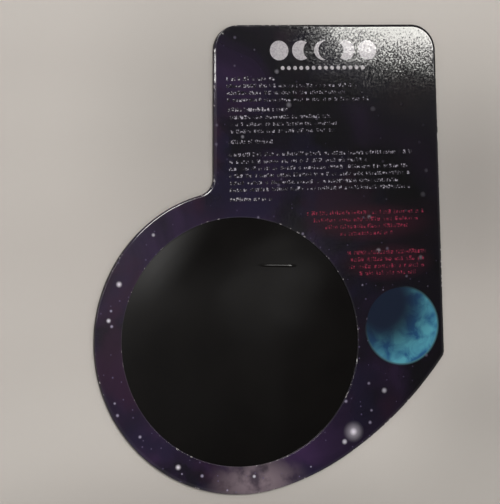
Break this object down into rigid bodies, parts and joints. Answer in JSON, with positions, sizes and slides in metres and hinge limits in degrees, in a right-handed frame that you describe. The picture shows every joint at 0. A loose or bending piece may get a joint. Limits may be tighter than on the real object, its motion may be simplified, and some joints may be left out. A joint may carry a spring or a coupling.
{
  "type": "eclipse photo filter card",
  "caption": "Flat die-cut card with a large round window of black solar film and a square handle tab, held over a phone camera to photograph a solar eclipse.",
  "frame": {"origin": "centre of the round window on the card's rear face", "axes": "+Z out of the front face, +Y up the handle tab, +X towards the side of the window that the tab stands on"},
  "size_m": [0.0923, 0.1167, 0.0011],
  "materials": {
    "front_print": "gloss laminate over a dark indigo printed sky",
    "rear_print": "gloss laminate over a dark indigo printed sky",
    "paperboard": "die-cut paperboard with a black-dyed core",
    "solar_film": "smooth black polymer film",
    "glue": "dried clear adhesive, dark between black boards"
  },
  "bodies": {
    "root": {"front_gloss_laminate": "front_print", "front_board": "paperboard", "front_film_glue": "glue", "filter_film": "solar_film", "rear_film_glue": "glue", "board_glue": "glue", "rear_board": "paperboard", "rear_gloss_laminate": "rear_print"}
  },
  "joints": []
}
